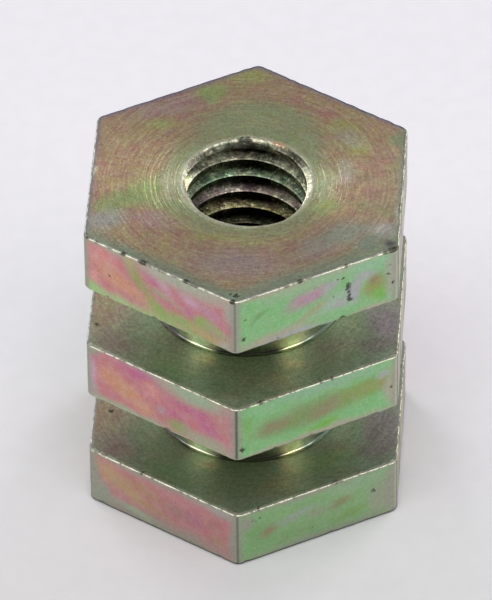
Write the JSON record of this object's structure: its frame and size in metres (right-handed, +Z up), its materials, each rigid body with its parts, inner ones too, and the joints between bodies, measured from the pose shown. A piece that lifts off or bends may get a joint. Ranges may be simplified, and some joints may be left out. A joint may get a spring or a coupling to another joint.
{
  "type": "grooved hexagon nut",
  "caption": "Long hexagon nut with turned grooves between its flanges and a tapped through hole, plated in iridescent yellow zinc, for moulding or bonding in.",
  "frame": {"origin": "centre of the bottom face, on the axis of the tapped hole", "axes": "+Z up along the hole, +X square to a flat of the hexagon, +Y through a corner"},
  "size_m": [0.022, 0.0252, 0.0252],
  "materials": {
    "zinc_plate": "zinc plate passivated to an iridescent yellow, pink and green film, satin and slightly worn at the edges"
  },
  "bodies": {
    "root": {"grooved_nut": "zinc_plate"}
  },
  "joints": []
}
